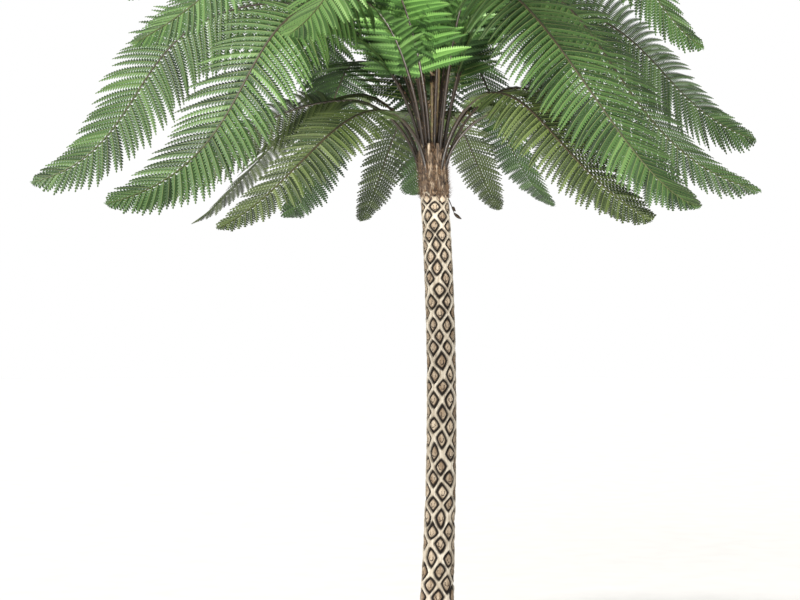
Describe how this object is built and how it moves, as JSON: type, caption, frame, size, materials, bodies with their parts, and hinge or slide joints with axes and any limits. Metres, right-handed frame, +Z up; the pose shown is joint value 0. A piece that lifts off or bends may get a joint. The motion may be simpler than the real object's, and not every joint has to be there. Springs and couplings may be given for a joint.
{
  "type": "tree fern",
  "caption": "Slender tree fern: bowed trunk with diamond leaf scars and a flared foot, under a wide crown of arching, drooping feathery fronds.",
  "frame": {"origin": "middle of the flat cut under the trunk, at ground level", "axes": "+Z up along the trunk; -Y towards the side of the crown that has no low fronds, where the packed frond stalks show; +X to the right of it, the way the trunk bows"},
  "size_m": [5.2572, 4.2842, 5.9324],
  "materials": {
    "bark": "matte",
    "head_scales": "matte",
    "frond_old": "matte",
    "frond_full": "satin",
    "frond_young": "satin",
    "crozier": "matte"
  },
  "bodies": {
    "root": {"crozier_1": "crozier", "crozier_2": "crozier", "crozier_3": "crozier", "frond_lower_1_arch": "frond_old", "frond_lower_1_fall": "frond_old", "frond_lower_2_arch": "frond_old", "frond_lower_2_fall": "frond_old", "frond_lower_3_arch": "frond_old", "frond_lower_3_fall": "frond_old", "frond_lower_4_arch": "frond_old", "frond_lower_4_fall": "frond_old", "frond_lower_5_arch": "frond_old", "frond_lower_5_fall": "frond_old", "frond_lower_6_arch": "frond_old", "frond_lower_6_fall": "frond_old", "frond_lower_7_arch": "frond_old", "frond_lower_7_fall": "frond_old", "frond_lower_8_arch": "frond_old", "frond_lower_8_fall": "frond_old", "frond_lower_9_arch": "frond_old", "frond_lower_9_fall": "frond_old", "frond_middle_1_arch": "frond_full", "frond_middle_1_fall": "frond_full", "frond_middle_2_arch": "frond_full", "frond_middle_2_fall": "frond_full", "frond_middle_3_arch": "frond_full", "frond_middle_3_fall": "frond_full", "frond_middle_4_arch": "frond_full", "frond_middle_4_fall": "frond_full", "frond_middle_5_arch": "frond_full", "frond_middle_5_fall": "frond_full", "frond_middle_6_arch": "frond_full", "frond_middle_6_fall": "frond_full", "frond_middle_7_arch": "frond_full", "frond_middle_7_fall": "frond_full", "frond_middle_8_arch": "frond_full", "frond_middle_8_fall": "frond_full", "frond_middle_9_arch": "frond_full", "frond_middle_9_fall": "frond_full", "frond_upper_1_arch": "frond_young", "frond_upper_1_fall": "frond_young", "frond_upper_2_arch": "frond_young", "frond_upper_2_fall": "frond_young", "frond_upper_3_arch": "frond_young", "frond_upper_3_fall": "frond_young", "frond_upper_4_arch": "frond_young", "frond_upper_4_fall": "frond_young", "frond_upper_5_arch": "frond_young", "frond_upper_5_fall": "frond_young", "frond_upper_6_arch": "frond_young", "frond_upper_6_fall": "frond_young", "frond_upper_7_arch": "frond_young", "frond_upper_7_fall": "frond_young", "frond_upper_8_arch": "frond_young", "frond_upper_8_fall": "frond_young", "frond_upper_9_arch": "frond_young", "frond_upper_9_fall": "frond_young", "head": "head_scales", "trunk": "bark"}
  },
  "joints": []
}
